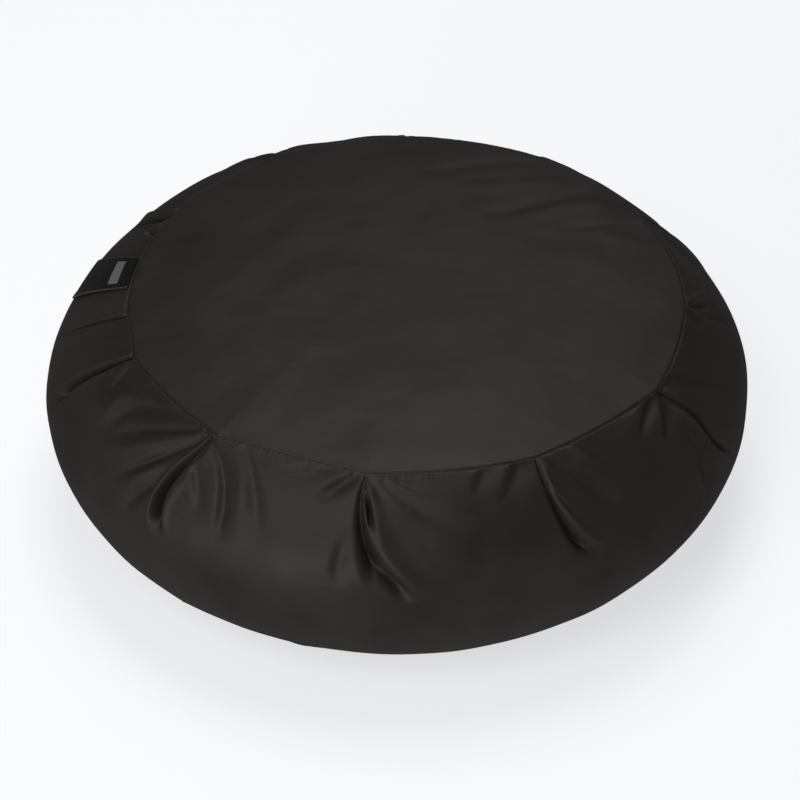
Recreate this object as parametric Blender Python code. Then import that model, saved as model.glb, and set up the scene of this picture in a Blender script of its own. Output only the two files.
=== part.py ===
"""Zafu cushion lying flat: a pleated side band with its filling, two round panels and a folded ribbon tab.

Metres and degrees, +Z up. The base panel rests on z = 0, and the Z axis runs through the middle of the
widest ring. A bearing is counted from +X towards the front, which is -Y. A drop is a length along the
cloth of the side, down from the top seam.
"""

import math
from bisect import bisect_right
from collections import namedtuple

import bmesh
import bpy

MM = 0.001

# Driving dimensions of the filled cushion
WIDEST_RADIUS = 0.190
WIDEST_HEIGHT = 0.061
TOP_SEAM_RADIUS = 0.148
TOP_SEAM_HEIGHT = 0.1215
TOP_SHIFT_X = 0.0049
TOP_SHIFT_Y = -0.0036
CROWN_RISE = 0.0085
CROWN_SHOULDER = 3.2
BASE_SEAM_RADIUS = 0.156
BASE_SEAM_HEIGHT = 0.0055
BASE_FLAT_SHARE = 0.87

# Cloth and seams
PANEL_THICKNESS = 0.0020
GAP = 0.0003
SEAM_SINK = 0.0015
BASE_SINK = 0.00075
SEAM_ROLL = 0.0022
CORNER_FADE = 0.050
PUFF_HEIGHT = 0.0006
PUFF_DROP = 0.030

# The base seam has softer corners than the top one, and shorter and shallower pleats.
BASE_CORNER_SHARE = 0.35
BASE_PLEAT_SHARE = 0.55

# Under the top seam the filling has settled: fuller round one bearing and slacker round another, by this
# much at most, over this spread in degrees, all of it at one drop and gone at the other.
FULL_BEARING = 230
SLACK_BEARING = 336
SETTLED = 0.0029
SETTLED_SPREAD = 24
SETTLED_DROP = 0.016
SETTLED_END = 0.075

# Ribbon tab
TAB_START_BEARINGS = (180.6, 191.6)
TAB_END_BEARINGS = (190.4, 201.8)
TAB_DROPS = (0.0022, 0.0470)
TAB_THICKNESS = 0.0012
TAB_CELLS = (6, 10)

# Mesh
COLUMNS_PER_SPAN = 13
SIDE_ROWS = 18
COLUMN_GATHER = 0.62
ROW_GATHER = 0.74
TRACE_STEPS = 300
TOP_SHARES = (0.0, 0.45, 0.75, 0.90)
TOP_RIM_SHARE = 0.96
BASE_RIM_SHARE = 0.94
WELD = 0.00001
TINY_TURN = 1e-7
CREASE_SHARPNESS = math.radians(50)

# One row for each pleat, by its bearing at the top seam. corner is the seam's radius there, and dip is how
# far the seam falls inside the line to the next corner. reach, depth and fold are the crease's length, its
# depth and the height of the fold beside it, with a minus where the fold lies towards lower bearings.
# lean_mid and lean_end turn the crease's middle and end. fan_up and fan_down are the soft troughs that
# spread from the corner towards higher and lower bearings. Bearings and leans are in degrees, the rest in mm.
Pleat = namedtuple("Pleat", "bearing corner dip reach depth fold lean_mid lean_end fan_up fan_down")
PLEATS = [
    Pleat(4.3, 147.2, 1.7, 40, 4.0, -1.6, -3.0, -9.0, 0.8, 0.6),
    Pleat(33.5, 150.9, 2.6, 66, 5.5, -1.8, -4.0, -9.6, 2.6, 0.8),
    Pleat(65.2, 148.9, 1.8, 60, 7.0, -2.0, -1.1, -5.4, 2.4, 1.2),
    Pleat(97.4, 147.6, 4.5, 66, 7.5, -2.2, -0.7, -9.0, 1.8, 1.2),
    Pleat(128.2, 150.4, 2.0, 62, 8.0, 2.6, 3.5, 1.0, 3.0, 2.4),
    Pleat(158.2, 150.1, 1.5, 60, 7.0, 1.8, 5.4, 8.0, 1.0, 1.6),
    Pleat(171.5, 146.8, 1.5, 62, 0.0, 0.0, 6.3, 12.2, 0.0, 0.0),
    Pleat(210.0, 147.2, 0.9, 48, 5.5, 1.8, 0.4, 1.8, 1.6, 1.4),
    Pleat(240.0, 148.2, 0.8, 58, 4.2, -1.1, -5.4, -8.0, 0.8, 1.0),
    Pleat(270.5, 149.4, 1.0, 62, 4.8, -1.5, -3.5, -1.0, 1.4, 1.2),
    Pleat(300.0, 148.9, 0.3, 58, 4.0, 1.0, 5.4, 8.0, 0.8, 0.8),
    Pleat(329.0, 145.7, 0.4, 64, 4.6, 1.4, 0.7, 9.0, 0.8, 1.2),
]
STRAIGHT = {"fold": 0, "lean_mid": 0, "lean_end": 0}
BASE_PLEATS = [
    pleat._replace(reach=pleat.reach * BASE_PLEAT_SHARE, depth=pleat.depth * BASE_PLEAT_SHARE, **STRAIGHT)
    for pleat in PLEATS
]

# A crease has its least depth at the seam, all of it from one share of its length, and runs out from another.
CREASE_WIDTHS = (0.0036, 0.0068)
CREASE_START = 0.12
CREASE_FULL_FROM = 0.22
CREASE_FADES_FROM = 0.35
FOLD_SIDE = 1.9
FAN_SPREAD = 0.46
FAN_REACH = 0.62
FAN_FULL_FROM = 0.25
FAN_WIDTHS = (0.0026, 0.0062)

# The strip's overlapping end follows the line of this row of PLEATS.
OVERLAP_ROW = 6
OVERLAP_STEP = 0.0014
OVERLAP_RUN = 0.045
OVERLAP_EDGE = 0.0015
OVERLAP_REACH = 0.070

COLUMNS = COLUMNS_PER_SPAN * len(PLEATS)

# Colour, roughness and metallic of each material
CLOTH_FINISH = ((0.027, 0.026, 0.024), 0.62, 0.0)
RIBBON_FINISH = ((0.012, 0.012, 0.012), 0.35, 0.0)


def smooth(share):
    """0 to 1 with level ends."""
    share = min(max(share, 0.0), 1.0)
    return share * share * (3 - 2 * share)


def gathered(share, gather):
    """Crowds evenly spaced shares towards 0 and 1."""
    return share - gather * math.sin(2 * math.pi * share) / (2 * math.pi)


def mixed(first, second, share):
    return first + (second - first) * share


def bell(distance, width):
    return math.exp(-((distance / width) ** 2))


def half_height(seam_radius, seam_height):
    """Half height of the ellipse that the side follows from its widest ring to this seam."""
    return abs(seam_height - WIDEST_HEIGHT) / math.sqrt(1 - (seam_radius / WIDEST_RADIUS) ** 2)


def side_trace():
    """(drop, radius, height) of the plain side, in small steps from the top seam to the base seam."""
    upper = math.acos(TOP_SEAM_RADIUS / WIDEST_RADIUS)
    lower = math.acos(BASE_SEAM_RADIUS / WIDEST_RADIUS)
    upper_rise = half_height(TOP_SEAM_RADIUS, TOP_SEAM_HEIGHT)
    lower_rise = half_height(BASE_SEAM_RADIUS, BASE_SEAM_HEIGHT)
    trace = []
    for step in range(TRACE_STEPS + 1):
        lean = mixed(upper, -lower, step / TRACE_STEPS)
        rise = upper_rise if lean > 0 else lower_rise
        point = (WIDEST_RADIUS * math.cos(lean), WIDEST_HEIGHT + rise * math.sin(lean))
        drop = trace[-1][0] + math.dist(trace[-1][1:], point) if trace else 0.0
        trace.append((drop, *point))
    return trace


TRACE = side_trace()
TRACE_DROPS = [row[0] for row in TRACE]
SIDE_LENGTH = TRACE_DROPS[-1]


def plain_side(drop, lift):
    """Radius and height of the plain side at a drop, moved out square to the cloth by lift."""
    after = min(max(bisect_right(TRACE_DROPS, drop), 1), TRACE_STEPS)
    before_drop, before_radius, before_height = TRACE[after - 1]
    after_drop, after_radius, after_height = TRACE[after]
    length = after_drop - before_drop
    share = (drop - before_drop) / length
    radius = mixed(before_radius, after_radius, share) + lift * (before_height - after_height) / length
    height = mixed(before_height, after_height, share) + lift * (after_radius - before_radius) / length
    return radius, height


def crease_bearing(pleat, drop):
    """Where a crease runs at a drop: a bend through its leans, then back to a plumb line."""
    along = min(drop / (pleat.reach * MM), 1.0)
    lean = 4 * along * (1 - along) * pleat.lean_mid + along * (2 * along - 1) * pleat.lean_end
    below = (drop - pleat.reach * MM) / CORNER_FADE
    return pleat.bearing + lean * (1 - smooth(below))


def column_bearing(column, drop):
    """Bearing of a mesh column, crowded towards the creases on both sides and following them down."""
    row, place = divmod(column, COLUMNS_PER_SPAN)
    start = crease_bearing(PLEATS[row], drop)
    width = (crease_bearing(PLEATS[(row + 1) % len(PLEATS)], drop) - start) % 360
    return start + width * gathered(place / COLUMNS_PER_SPAN, COLUMN_GATHER)


def span_at(bearing, drop):
    """The pleat before this bearing, the one after it, and the share of the way between them."""
    starts = [crease_bearing(pleat, drop) for pleat in PLEATS]
    past = [(bearing - start + TINY_TURN) % 360 for start in starts]
    row = past.index(min(past))
    after = (row + 1) % len(PLEATS)
    return PLEATS[row], PLEATS[after], past[row] / ((starts[after] - starts[row]) % 360)


def seam_offset(bearing, drop):
    """How far the seam lies outside its mean radius: corners at the pleats, nearly straight between."""
    pleat, after, share = span_at(bearing, drop)
    corner = mixed(pleat.corner, after.corner, share)
    return (corner - 4 * pleat.dip * share * (1 - share)) * MM - TOP_SEAM_RADIUS


def strength(along):
    """A crease starts shallow at the seam, is deepest in its upper part and then runs out."""
    growing = mixed(CREASE_START, 1.0, smooth(along / CREASE_FULL_FROM))
    return growing * (1 - smooth((along - CREASE_FADES_FROM) / (1 - CREASE_FADES_FROM)))


def apart(bearing, other, radius):
    """Length round the ring from the other bearing to this one."""
    return math.radians((bearing - other + 180) % 360 - 180) * radius


def pleat_relief(pleat, bearing, drop, radius):
    """Height over the plain side beside one pleat: its crease, its fold and its two fans."""
    along = drop / (pleat.reach * MM)
    if along >= 1:
        return 0.0
    width = mixed(*CREASE_WIDTHS, along)
    side = apart(bearing, crease_bearing(pleat, drop), radius)
    fold_middle = math.copysign(FOLD_SIDE * width, pleat.fold)
    relief = abs(pleat.fold) * bell(side - fold_middle, width) - pleat.depth * bell(side, width)
    relief *= strength(along)
    fan_along = along / FAN_REACH
    fan_width = mixed(*FAN_WIDTHS, fan_along)
    fan_strength = smooth(fan_along / FAN_FULL_FROM) * (1 - smooth(fan_along))
    from_corner = apart(bearing, pleat.bearing, radius)
    for depth, spread in ((pleat.fan_up, FAN_SPREAD), (pleat.fan_down, -FAN_SPREAD)):
        middle = spread * drop + math.copysign(FAN_WIDTHS[0], spread)
        relief -= depth * fan_strength * bell(from_corner - middle, fan_width)
    return relief * MM


def overlap_relief(bearing, drop, radius):
    """The strip's own end lies over its start: a thin straight edge that the filling evens out."""
    past_edge = apart(bearing, crease_bearing(PLEATS[OVERLAP_ROW], drop), radius)
    step = smooth(past_edge / OVERLAP_EDGE) * (1 - smooth(past_edge / OVERLAP_RUN))
    return OVERLAP_STEP * step * (1 - smooth(drop / OVERLAP_REACH))


def settling(bearing, drop):
    """How far the side stands out where the filling has settled, with a minus where it has sunk away."""
    full = bell((bearing - FULL_BEARING + 180) % 360 - 180, SETTLED_SPREAD)
    slack = bell((bearing - SLACK_BEARING + 180) % 360 - 180, SETTLED_SPREAD)
    below = smooth((drop - SETTLED_DROP) / (SETTLED_END - SETTLED_DROP))
    return SETTLED * (full - slack) * smooth(drop / SETTLED_DROP) * (1 - below)


def side_point(bearing, drop, lift=0.0):
    """A point of the pleated side, or of what lies on it by a lift."""
    below_top = smooth(drop / CORNER_FADE)
    above_base = smooth((SIDE_LENGTH - drop) / CORNER_FADE)
    plain_radius, _ = plain_side(drop, 0.0)
    _, _, share = span_at(bearing, drop)
    puff = PUFF_HEIGHT * math.sin(math.pi * share) ** 2
    relief = puff * smooth(drop / PUFF_DROP) * (1 - below_top)
    for pleat, base_pleat in zip(PLEATS, BASE_PLEATS):
        relief += pleat_relief(pleat, bearing, drop, plain_radius)
        relief += pleat_relief(base_pleat, bearing, SIDE_LENGTH - drop, plain_radius)
    relief += overlap_relief(bearing, drop, plain_radius) + settling(bearing, drop)
    radius, height = plain_side(drop, relief + lift)
    corners = (1 - below_top) + BASE_CORNER_SHARE * (1 - above_base)
    return placed_point(bearing, radius + seam_offset(bearing, drop) * corners, height)


def placed_point(bearing, radius, height):
    """A bearing and a radius as a point. Towards the top the rings lie a little off the cushion's axis."""
    share = smooth((height - WIDEST_HEIGHT) / (TOP_SEAM_HEIGHT - WIDEST_HEIGHT))
    turn = math.radians(bearing)
    x = radius * math.cos(turn) + TOP_SHIFT_X * share
    y = -radius * math.sin(turn) + TOP_SHIFT_Y * share
    return (x, y, height)


def side_ring(drop):
    return [side_point(column_bearing(column, drop), drop) for column in range(COLUMNS)]


def top_ring(share, height, inset=0.0):
    """A ring of the round top, at a share of the seam's radius and set in from it."""
    points = []
    for column in range(COLUMNS):
        bearing = column_bearing(column, 0.0)
        radius = (TOP_SEAM_RADIUS + seam_offset(bearing, 0.0)) * share - inset
        x, y, _ = placed_point(bearing, radius, TOP_SEAM_HEIGHT)
        points.append((x, y, height + CROWN_RISE * (1 - share**CROWN_SHOULDER)))
    return points


def base_ring(share, height, inset=0.0):
    """A ring of the round base: flat in the middle, then rising to the seam."""
    rise = max(share - BASE_FLAT_SHARE, 0.0) / (1 - BASE_FLAT_SHARE)
    points = []
    for column in range(COLUMNS):
        bearing = column_bearing(column, SIDE_LENGTH)
        corner = BASE_CORNER_SHARE * seam_offset(bearing, SIDE_LENGTH)
        radius = (BASE_SEAM_RADIUS + corner) * share - inset
        points.append(placed_point(bearing, radius, height + BASE_SEAM_HEIGHT * rise * rise))
    return points


def skinned(name, rings, finish):
    """A closed skin through rings: a circle is extruded from ring to ring, and both ends are filled."""
    mesh = bmesh.new()
    column_of = mesh.verts.layers.int.new("column")
    bmesh.ops.create_circle(mesh, segments=COLUMNS)
    for column, vert in enumerate(mesh.verts):
        vert[column_of] = column
        vert.co = rings[0][column]
    edges = mesh.edges[:]
    bmesh.ops.holes_fill(mesh, edges=edges)
    for points in rings[1:]:
        made = bmesh.ops.extrude_edge_only(mesh, edges=edges)["geom"]
        edges = [item for item in made if isinstance(item, bmesh.types.BMEdge)]
        for vert in made:
            if isinstance(vert, bmesh.types.BMVert):
                vert.co = points[vert[column_of]]
    bmesh.ops.holes_fill(mesh, edges=edges)
    bmesh.ops.remove_doubles(mesh, verts=mesh.verts, dist=WELD)
    bmesh.ops.recalc_face_normals(mesh, faces=mesh.faces)
    return finished(name, mesh, finish)


def finished(name, mesh, finish):
    """The mesh as one named object with its own material."""
    data = bpy.data.meshes.new(name)
    mesh.to_mesh(data)
    mesh.free()
    data.shade_smooth()
    data.set_sharp_from_angle(angle=CREASE_SHARPNESS)
    piece = bpy.data.objects.new(name, data)
    bpy.context.scene.collection.objects.link(piece)
    material = bpy.data.materials.new(name)
    material.use_nodes = True
    shader = material.node_tree.nodes["Principled BSDF"]
    colour, roughness, metallic = finish
    shader.inputs["Base Color"].default_value = (*colour, 1)
    shader.inputs["Roughness"].default_value = roughness
    shader.inputs["Metallic"].default_value = metallic
    data.materials.append(material)
    return piece


def make_side_band():
    """The pleated strip and the filling that it holds, as one filled solid, recessed for both panels."""
    rim = TOP_SEAM_HEIGHT - SEAM_SINK
    floor = rim - PANEL_THICKNESS - GAP
    ceiling = PANEL_THICKNESS + GAP
    rings = [top_ring(share, floor) for share in TOP_SHARES]
    rings += [top_ring(1.0, height, -GAP) for height in (floor, rim)]
    for row in range(1, SIDE_ROWS):
        rings.append(side_ring(SIDE_LENGTH * gathered(row / SIDE_ROWS, ROW_GATHER)))
    rings += [base_ring(1.0, height, -GAP) for height in (BASE_SINK, ceiling)]
    rings += [base_ring(share, ceiling) for share in (BASE_RIM_SHARE, BASE_FLAT_SHARE)]
    return skinned("side_band", rings, CLOTH_FINISH)


def make_top_panel():
    """A round of cloth whose rim rolls down into the seam."""
    rim = TOP_SEAM_HEIGHT - SEAM_SINK
    rings = [top_ring(share, rim - PANEL_THICKNESS) for share in (*TOP_SHARES, 1.0)]
    rings.append(top_ring(1.0, rim))
    rings.append(top_ring(1.0, TOP_SEAM_HEIGHT, SEAM_ROLL))
    rings += [top_ring(share, TOP_SEAM_HEIGHT) for share in (TOP_RIM_SHARE, *reversed(TOP_SHARES))]
    return skinned("top_panel", rings, CLOTH_FINISH)


def make_base_panel():
    """The second round of cloth, flat where the cushion rests."""
    shares = (BASE_FLAT_SHARE, BASE_RIM_SHARE, 1.0)
    rings = [base_ring(share, PANEL_THICKNESS) for share in shares]
    rings += [base_ring(share, 0.0) for share in reversed(shares)]
    return skinned("base_panel", rings, CLOTH_FINISH)


def tab_point(across, down, lift):
    """A point over the side, at shares across and down the tab."""
    start = mixed(*TAB_START_BEARINGS, across)
    end = mixed(*TAB_END_BEARINGS, across)
    return side_point(mixed(start, end, down), mixed(*TAB_DROPS, down), lift)


def make_label_tab():
    """A folded ribbon caught in the top seam, lying on the side."""
    mesh = bmesh.new()
    bmesh.ops.create_cube(mesh, size=1)
    for axis, cells in ((0, TAB_CELLS[0]), (1, TAB_CELLS[1])):
        for cut in range(1, cells):
            normal = (1, 0, 0) if axis == 0 else (0, 1, 0)
            middle = [side * (cut / cells - 0.5) for side in normal]
            everything = mesh.verts[:] + mesh.edges[:] + mesh.faces[:]
            bmesh.ops.bisect_plane(mesh, geom=everything, plane_co=middle, plane_no=normal)
    for vert in mesh.verts:
        lift = GAP + TAB_THICKNESS if vert.co.z > 0 else GAP
        vert.co = tab_point(vert.co.x + 0.5, vert.co.y + 0.5, lift)
    bmesh.ops.recalc_face_normals(mesh, faces=mesh.faces)
    return finished("label_tab", mesh, RIBBON_FINISH)


for leftover in list(bpy.data.objects):
    bpy.data.objects.remove(leftover)

make_side_band()
make_top_panel()
make_base_panel()
make_label_tab()
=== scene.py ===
import math
from collections import namedtuple

import bmesh
import bpy
import numpy as np
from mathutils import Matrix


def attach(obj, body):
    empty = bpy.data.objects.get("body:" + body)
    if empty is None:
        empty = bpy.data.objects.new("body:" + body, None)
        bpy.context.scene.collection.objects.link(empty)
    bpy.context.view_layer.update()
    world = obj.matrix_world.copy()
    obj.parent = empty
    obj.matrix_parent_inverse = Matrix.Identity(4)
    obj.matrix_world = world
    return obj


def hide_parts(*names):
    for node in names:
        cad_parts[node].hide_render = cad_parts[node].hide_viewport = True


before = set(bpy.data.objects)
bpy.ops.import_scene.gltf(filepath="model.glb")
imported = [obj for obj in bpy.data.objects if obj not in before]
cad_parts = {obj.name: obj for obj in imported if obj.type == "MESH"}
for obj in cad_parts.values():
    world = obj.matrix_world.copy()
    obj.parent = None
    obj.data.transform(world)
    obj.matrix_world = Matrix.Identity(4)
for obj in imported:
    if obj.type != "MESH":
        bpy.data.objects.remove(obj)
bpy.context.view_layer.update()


# ---- Side band -----------------------------------------------------------------------------------------
# One long strip of fine dark sateen, pleated into both seams and filled tight with hulls. It is widest
# halfway down, and every pleat pinches it at the seams, with a crease and a fan of soft pulls under it.
# Bearings are degrees from +X towards the front. A drop is a length down the cloth from the top seam.

MM = 0.001

# The filled cushion, in metres: its widest ring, its seams, the top's crown and the base's flat middle. The
# top seam lies a little off the cushion's axis.
WIDEST_RADIUS = 0.190
WIDEST_HEIGHT = 0.061
TOP_SEAM_RADIUS = 0.148
TOP_SEAM_HEIGHT = 0.1215
TOP_SHIFT_X = 0.0049
TOP_SHIFT_Y = -0.0036
BASE_SEAM_RADIUS = 0.156
BASE_SEAM_HEIGHT = 0.0055
BASE_FLAT_SHARE = 0.87
CROWN_RISE = 0.0085
CROWN_SHOULDER = 3.2
PANEL_THICKNESS = 0.0020
GAP = 0.0003

# The seams have corners at the pleats, softer ones at the base, and the corners fade down the side. Between
# two pleats the side puffs out a little. Each seam lies in a narrow groove.
BASE_CORNER_SHARE = 0.35
CORNER_FADE = 0.050
PUFF_HEIGHT = 0.0006
PUFF_DROP = 0.030
GROOVE_DEPTH = 0.0006
GROOVE_WIDTH = 0.0006

# Under the top seam the hulls have settled: fuller round one bearing and slacker round another, by this much
# at most, over this spread in degrees, all of it at one drop and gone at the other.
FULL_BEARING = 230
SLACK_BEARING = 336
SETTLED = 0.0029
SETTLED_SPREAD = 24
SETTLED_DROP = 0.016
SETTLED_END = 0.075

# Each pleat by its bearing at the top seam: the seam's radius there and how far the seam falls inside the
# line to the next corner (both in mm), whose folds it has, whether they are mirrored, and their strength.
Pleat = namedtuple("Pleat", "bearing corner dip folds side strength")
PLEATS = [
    Pleat(4.3, 147.2, 1.7, "right", 1, 1.0),
    Pleat(33.5, 150.9, 2.6, "front_right", 1, 1.0),
    Pleat(65.2, 148.9, 1.8, "front_mid_right", 1, 1.0),
    Pleat(97.4, 147.6, 4.5, "front_mid", 1, 1.0),
    Pleat(128.2, 150.4, 2.0, "front_left", 1, 1.0),
    Pleat(158.2, 150.1, 1.5, "left", 1, 1.0),
    Pleat(171.5, 146.8, 1.5, "strip_end", 1, 1.0),
    Pleat(210.0, 147.2, 0.9, "back_left", 1, 1.0),
    Pleat(240.0, 148.2, 0.8, "left", -1, 0.55),
    Pleat(270.5, 149.4, 1.0, "front_left", -1, 0.6),
    Pleat(300.0, 148.9, 0.3, "left", 1, 0.5),
    Pleat(329.0, 145.7, 0.4, "front_mid", -1, 0.6),
]

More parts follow.
